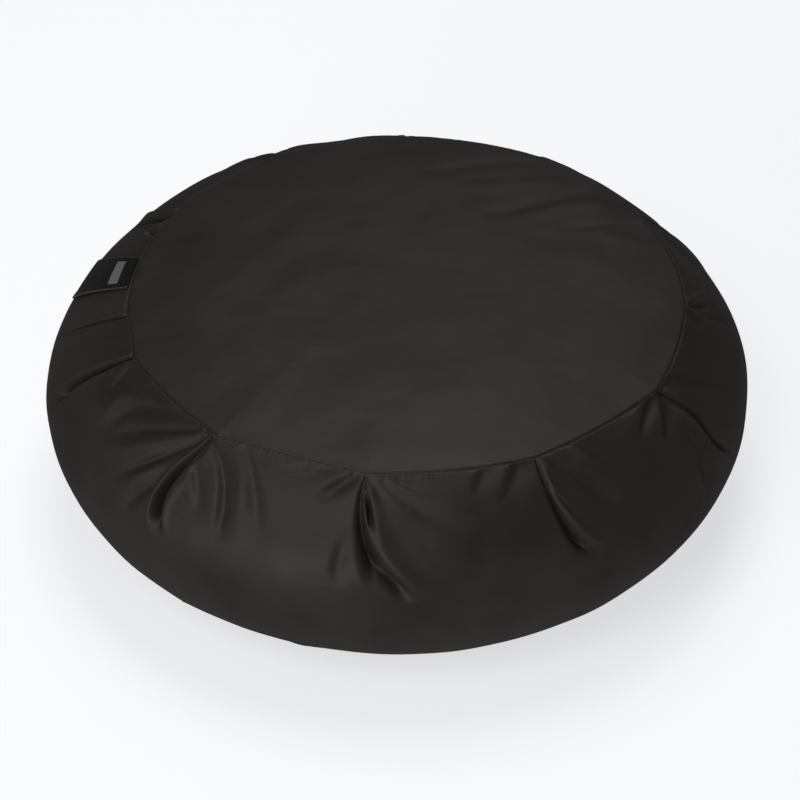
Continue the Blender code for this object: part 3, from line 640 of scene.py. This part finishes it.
def make_cloth(name, coordinates, seam_stitches):
    """Fine dark sateen: a faint diagonal weave, slubs, clouding, and puckers from the seam's stitches."""
    cloth = Finish(name)
    cloth.shader.inputs["Roughness"].default_value = CLOTH_ROUGHNESS
    cloth.shader.inputs["Specular IOR Level"].default_value = CLOTH_SPECULAR
    solid = cloth.spread("Object")
    flat = cloth.spread(coordinates)
    clouds = cloth.noise(solid, CLOUD_SCALE, detail=5, roughness=0.66)
    slubs = cloth.noise(cloth.spread(coordinates, SLUB_SCALES), 1, detail=2)
    tone = cloth.sum((clouds, 1 - SLUB_CHANGE / CLOUD_CHANGE), (slubs, SLUB_CHANGE / CLOUD_CHANGE))
    darker = [part * (1 - CLOUD_CHANGE) for part in CLOTH_COLOUR]
    lighter = [part * (1 + CLOUD_CHANGE) for part in CLOTH_COLOUR]
    cloth.coloured(tone, *CLOUD_RANGE, darker, lighter)
    twill = cloth.ribs(cloth.spread(coordinates, turn=TWILL_TURN), TWILL_PITCH)
    fibre = cloth.noise(flat, FIBRE_SCALE, detail=2)
    rumple = cloth.noise(solid, RUMPLE_SCALE, detail=2, roughness=0.4)
    heights = [(twill, TWILL_HEIGHT), (fibre, FIBRE_HEIGHT), (rumple, RUMPLE_HEIGHT)]
    if seam_stitches:
        stitches = cloth.ribs(flat, STITCH_PITCH)
        depth = cloth.nodes.new("ShaderNodeSeparateXYZ")
        cloth.links.new(flat, depth.inputs["Vector"])
        near_top = cloth.ramp(depth.outputs["Y"], 0, STITCH_REACH, 1, 0)
        near_base = cloth.ramp(depth.outputs["Y"], SIDE_LENGTH - STITCH_REACH, SIDE_LENGTH, 0, 1)
        near_seam = cloth.sum((near_top, 1), (near_base, 1))
        heights.append((cloth.product(stitches, near_seam), STITCH_HEIGHT))
    cloth.raised(cloth.sum(*heights))
    return cloth.material


band.data.materials.append(make_cloth("side_cloth", "UV", True))


# ---- Top panel -----------------------------------------------------------------------------------------
# A round of the same sateen, seamed to the band all round, so that it has a corner at every pleat. The
# filling gives it a low crown, its rim runs down into the seam, and soft pulls cross its right back part.

PANEL_COLUMNS = 600
PANEL_RINGS = 84
UNDER_RINGS = 14

# The seam holds the panel's rim smooth as far in as this.
PANEL_HELD = 0.016

# Soft pulls across the panel: rise and half width in mm, the ends in mm from the panel's centre (x to the
# right, y to the back), and how far the middle bows to the left of the way from one end to the other. A pull
# fades in and out round its ends, within this share of its length on both sides of them.
PULL_FADE = 0.25
Pull = namedtuple("Pull", "rise width start_x start_y end_x end_y bow")
PULLS = [
    Pull(-0.9, 5.5, 14, 104, 78, 124, 1.0),
    Pull(0.7, 6.0, 34, 88, 90, 99, -1.5),
    Pull(-1.1, 5.0, 46, 61, 110, 97, -2.5),
    Pull(0.8, 5.0, 74, 62, 112, 78, 2.0),
    Pull(-0.8, 3.0, 90, 49, 134, 62, 1.0),
    Pull(-0.5, 8.0, 70, 36, 106, 39, 0.0),
    Pull(0.5, 5.0, 104, 43, 140, 36, 2.0),
]

# Hulls press uneven dents into the panel: waves that run in all directions, with lengths in metres.
DENT_HEIGHT = 0.00045
DENT_WAVES = 7
DENT_LENGTHS = (0.030, 0.085)
DENT_SEED = 5


def panel_relief(points):
    """Height of the soft pulls in the cloth and of the uneven hulls under it."""
    x = points[..., 0] - TOP_SHIFT_X
    y = points[..., 1] - TOP_SHIFT_Y
    rise = np.zeros_like(x)
    for pull in PULLS:
        start_x, start_y = pull.start_x * MM, pull.start_y * MM
        run_x, run_y = pull.end_x * MM - start_x, pull.end_y * MM - start_y
        length = math.hypot(run_x, run_y)
        along = ((x - start_x) * run_x + (y - start_y) * run_y) / length**2
        across = ((y - start_y) * run_x - (x - start_x) * run_y) / length
        inside = np.clip(along, 0, 1)
        across = across - 4 * pull.bow * MM * inside * (1 - inside)
        ends = smooth((along / PULL_FADE + 1) / 2) * smooth(((1 - along) / PULL_FADE + 1) / 2)
        rise = rise + pull.rise * MM * ends * bell(across, pull.width * MM)
    rng = np.random.default_rng(DENT_SEED)
    for _ in range(DENT_WAVES):
        heading, phase = rng.uniform(0, 2 * np.pi, 2)
        length = rng.uniform(*DENT_LENGTHS)
        way = x * np.cos(heading) + y * np.sin(heading)
        rise = rise + DENT_HEIGHT / DENT_WAVES * np.sin(2 * np.pi * way / length + phase)
    return rise


def make_top_panel():
    """The round: its hidden under side from the middle out, then its face from the seam in."""
    rim = TOP_SEAM_HEIGHT - GROOVE_DEPTH
    bearing = column_bearings(PANEL_COLUMNS, np.zeros((1, 1)))
    under_shares = np.linspace(0, 1, UNDER_RINGS)
    rows = [top_points(bearing, share, rim - PANEL_THICKNESS) for share in under_shares]
    for share in np.sin(np.linspace(np.pi / 2, 0, PANEL_RINGS)):
        points = top_points(bearing, share, TOP_SEAM_HEIGHT)
        from_rim = (1 - share) * TOP_SEAM_RADIUS
        points[..., 2] -= GROOVE_DEPTH * bell(from_rim, GROOVE_WIDTH)
        points[..., 2] += panel_relief(points) * smooth(from_rim / PANEL_HELD)
        rows.append(points)
    rows = closed(np.concatenate(rows, axis=0))
    return wrapped("top_round", rows, lengths(rows[UNDER_RINGS]), lengths(rows[:, 0]))


top_panel = make_top_panel()
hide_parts("top_panel")
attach(top_panel, "root")
top_panel.data.materials.append(make_cloth("top_cloth", "Object", False))


# ---- Base panel ----------------------------------------------------------------------------------------
# The second round of sateen, a little wider than the top one. Its middle lies flat on the floor, and its
# outer part rises to its own seam with the band, which has softer corners.

BASE_RINGS = (0.0, 0.3, 0.6, 0.8, 0.87, 0.89, 0.91, 0.93, 0.95, 0.97, 0.985, 1.0)


def make_base_panel():
    """The round: its hidden inner side from the middle out, then its outer side from the seam in."""
    bearing = column_bearings(PANEL_COLUMNS, np.full((1, 1), SIDE_LENGTH))
    inner = [base_points(bearing, share, PANEL_THICKNESS) for share in BASE_RINGS]
    outer = [base_points(bearing, share, 0.0) for share in reversed(BASE_RINGS)]
    rows = closed(np.concatenate(inner + outer, axis=0))
    return wrapped("base_round", rows, lengths(rows[len(BASE_RINGS)]), lengths(rows[:, 0]))


base_panel = make_base_panel()
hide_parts("base_panel")
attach(base_panel, "root")
base_panel.data.materials.append(make_cloth("base_cloth", "Object", False))


# ---- Label tab -----------------------------------------------------------------------------------------
# A short black satin ribbon, folded double and caught in the top seam beside the strip's overlapping end.
# It lies down over the band, and is bare but for one plain pale bar woven across it.

# Bearings of both edges at the seam and at the fold, drops of the seam's end and of the fold, and the size of
# the ribbon when it is laid flat
TAB_START_BEARINGS = (180.6, 191.6)
TAB_END_BEARINGS = (190.4, 201.8)
TAB_DROPS = (0.0012, 0.0470)
RIBBON_WIDTH = 0.0325
RIBBON_LENGTH = 0.1040
RIBBON_THICKNESS = 0.00035

# How high both layers lie over the band, and how far the edge with the lower bearings curls up, over this
# share of the width
UNDER_LIFT = 0.0005
OVER_LIFT = 0.0011
EDGE_LIFT = 0.0008
EDGE_CURL = 0.25

TAB_ACROSS = 36
TAB_DOWN = 56
TURN_STEPS = 8


def tab_path():
    """Shares of the way down and lifts over the band: down the under side, round the fold and back up."""
    down = np.linspace(0, 1, TAB_DOWN)
    turn = np.linspace(0, np.pi, TURN_STEPS + 2)[1:-1]
    half = (OVER_LIFT - UNDER_LIFT) / 2
    seam_drop, fold_drop = TAB_DROPS
    round_down = 1 + half / (fold_drop - seam_drop) * np.sin(turn)
    round_lift = UNDER_LIFT + half * (1 - np.cos(turn))
    shares = np.concatenate([down, round_down, down[::-1]])
    lifts = np.concatenate([np.full(TAB_DOWN, UNDER_LIFT), round_lift, np.full(TAB_DOWN, OVER_LIFT)])
    return shares[:, None], lifts[:, None]


def make_tab():
    """The ribbon as one strip, folded double, that follows the band under it and curls up at one edge."""
    down, lift = tab_path()
    across = np.linspace(0, 1, TAB_ACROSS)[None]
    start = mixed(*TAB_START_BEARINGS, across)
    end = mixed(*TAB_END_BEARINGS, across)
    curl = EDGE_LIFT * smooth(1 - across / EDGE_CURL) * smooth(down)
    rows = side_points(mixed(start, end, down), mixed(*TAB_DROPS, down), lift + curl)
    along = np.linspace(0, RIBBON_WIDTH, TAB_ACROSS)
    length = lengths(rows[:, 0])
    piece = wrapped("folded_tab", rows, along, length / length[-1] * RIBBON_LENGTH)
    thickness = piece.modifiers.new("thickness", "SOLIDIFY")
    thickness.thickness = RIBBON_THICKNESS
    thickness.offset = 0
    return piece


label_tab = make_tab()
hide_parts("label_tab")
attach(label_tab, "root")

# The satin: black, with a painted highlight along both edges, pale threads in the bar, ribs across it, and
# soft creases
SATIN_BLACK = (0.0065, 0.0066, 0.0072)
BAR_AND_HIGHLIGHT_GREY = (0.22, 0.22, 0.23)
SATIN_ROUGHNESS = 0.36
SATIN_SPECULAR = 0.32
RIB_PITCH = 0.0006
RIB_HEIGHT = 0.000012
EDGE_HIGHLIGHT_WIDTH = 0.0008
BAR_FROM_SEAM = 0.0120
BAR_LENGTH = 0.0075
BAR_WIDTH = 0.0225
THREAD_EDGE = 0.0002
EDGE_HIGHLIGHT_SHARE = 0.3
CREASE_SCALE = 110
CREASE_HEIGHT = 0.0005
CRINKLE_REACH = 0.015
CRINKLE_SCALE = 260
CRINKLE_HEIGHT = 0.0011
QUARTER_TURN = math.radians(90)


def make_satin(name):
    """Black satin, ribbed across and crinkled at the seam, with a painted grey highlight along both edges and
    one pale woven bar.
    """
    satin = Finish(name)
    satin.shader.inputs["Roughness"].default_value = SATIN_ROUGHNESS
    satin.shader.inputs["Specular IOR Level"].default_value = SATIN_SPECULAR
    flat = satin.spread("UV")
    places = satin.nodes.new("ShaderNodeSeparateXYZ")
    satin.links.new(flat, places.inputs["Vector"])
    middle = satin.within(places.outputs["X"], RIBBON_WIDTH / 2, RIBBON_WIDTH / 2 - EDGE_HIGHLIGHT_WIDTH, THREAD_EDGE)
    across_bar = satin.within(places.outputs["X"], RIBBON_WIDTH / 2, BAR_WIDTH / 2, THREAD_EDGE)
    along_bar = satin.within(places.outputs["Y"], RIBBON_LENGTH - BAR_FROM_SEAM, BAR_LENGTH / 2, THREAD_EDGE)
    # The paler grey along both edges is a painted highlight, where the ribbon's edges catch the light.
    painted_edge_highlight = satin.ramp(middle, 0, 1, 1, 0)
    bar_and_highlight = satin.sum((painted_edge_highlight, EDGE_HIGHLIGHT_SHARE), (satin.product(across_bar, along_bar), 1))
    satin.coloured(bar_and_highlight, 0, 1, SATIN_BLACK, BAR_AND_HIGHLIGHT_GREY)
    ribs = satin.ribs(satin.spread("UV", turn=QUARTER_TURN), RIB_PITCH)
    creases = satin.noise(satin.spread("Object"), CREASE_SCALE, detail=1)
    near_seam = satin.ramp(places.outputs["Y"], RIBBON_LENGTH - CRINKLE_REACH, RIBBON_LENGTH, 0, 1)
    crinkles = satin.product(satin.noise(satin.spread("Object"), CRINKLE_SCALE, detail=1), near_seam)
    satin.raised(satin.sum((ribs, RIB_HEIGHT), (creases, CREASE_HEIGHT), (crinkles, CRINKLE_HEIGHT)))
    return satin.material


label_tab.data.materials.append(make_satin("ribbon"))


# ---- Floor, light and camera ---------------------------------------------------------------------------
# A plain pale floor with some light of its own, which also reaches the cushion's lower side. Five soft square
# lights stand round the cushion, and the camera looks down at its front.

FLOOR_SIZE = 12.0
FLOOR_COLOUR = (0.86, 0.865, 0.875)
FLOOR_ROUGHNESS = 0.9
FLOOR_GLOW = (0.97, 0.98, 1.0)
FLOOR_GLOW_STRENGTH = 0.655
WORLD_COLOUR = (1.0, 1.0, 1.0)
WORLD_STRENGTH = 0.065


def make_floor():
    """A level floor, which isn't mirrored in the cushion's sheen."""
    mesh = bmesh.new()
    bmesh.ops.create_grid(mesh, x_segments=1, y_segments=1, size=FLOOR_SIZE / 2)
    data = bpy.data.meshes.new("floor")
    mesh.to_mesh(data)
    mesh.free()
    plane = bpy.data.objects.new("floor", data)
    bpy.context.scene.collection.objects.link(plane)
    plane.visible_glossy = False
    material = bpy.data.materials.new("pale_floor")
    material.use_nodes = True
    shader = material.node_tree.nodes["Principled BSDF"]
    shader.inputs["Base Color"].default_value = (*FLOOR_COLOUR, 1)
    shader.inputs["Roughness"].default_value = FLOOR_ROUGHNESS
    shader.inputs["Emission Color"].default_value = (*FLOOR_GLOW, 1)
    shader.inputs["Emission Strength"].default_value = FLOOR_GLOW_STRENGTH
    data.materials.append(material)
    return plane


floor = make_floor()

world = bpy.data.worlds.new("studio")
bpy.context.scene.world = world
world.use_nodes = True
background = world.node_tree.nodes["Background"]
background.inputs["Color"].default_value = (*WORLD_COLOUR, 1)
background.inputs["Strength"].default_value = WORLD_STRENGTH

# The lights: the bearing and the elevation in degrees that each one shines from, and its power in watts
LIGHT_AIM = (0.0, 0.0, 0.06)
LIGHT_DISTANCE = 2.2
LIGHT_SIZE = 1.0
Softbox = namedtuple("Softbox", "name bearing elevation power")
SOFTBOXES = [
    Softbox("front_softbox", 122, 52, 6.9),
    Softbox("low_front_softbox", 116, 9, 6.9),
    Softbox("low_left_softbox", 148, 10, 1.8),
    Softbox("high_back_softbox", 270, 75, 8.0),
    Softbox("back_softbox", 282, 45, 1.7),
]


def add_softbox(softbox):
    """A square softbox, aimed at the cushion."""
    light = bpy.data.lights.new(softbox.name, "AREA")
    light.shape = "SQUARE"
    light.size = LIGHT_SIZE
    light.energy = softbox.power
    lamp = bpy.data.objects.new(softbox.name, light)
    turn, tilt = math.radians(softbox.bearing), math.radians(softbox.elevation)
    lamp.location = (
        LIGHT_AIM[0] + LIGHT_DISTANCE * math.cos(tilt) * math.cos(turn),
        LIGHT_AIM[1] - LIGHT_DISTANCE * math.cos(tilt) * math.sin(turn),
        LIGHT_AIM[2] + LIGHT_DISTANCE * math.sin(tilt),
    )
    lamp.rotation_euler = (QUARTER_TURN - tilt, 0, QUARTER_TURN - turn)
    bpy.context.scene.collection.objects.link(lamp)


for softbox in SOFTBOXES:
    add_softbox(softbox)

# The camera: how steeply it looks down, how far off it stands and what it looks at, and a long lens, in mm
CAMERA_ELEVATION = math.radians(39.3)
CAMERA_DISTANCE = 1.3
CAMERA_AIM = (0.0017, 0.0, 0.0436)
CAMERA_LENS = 106.2
CAMERA_SENSOR = 36
camera_data = bpy.data.cameras.new("camera")
camera_data.lens = CAMERA_LENS
camera_data.sensor_width = CAMERA_SENSOR
camera = bpy.data.objects.new("camera", camera_data)
camera.location = (
    CAMERA_AIM[0],
    CAMERA_AIM[1] - CAMERA_DISTANCE * math.cos(CAMERA_ELEVATION),
    CAMERA_AIM[2] + CAMERA_DISTANCE * math.sin(CAMERA_ELEVATION),
)
camera.rotation_euler = (QUARTER_TURN - CAMERA_ELEVATION, 0, 0)
bpy.context.scene.collection.objects.link(camera)
bpy.context.scene.camera = camera
bpy.context.scene.view_settings.view_transform = "Standard"
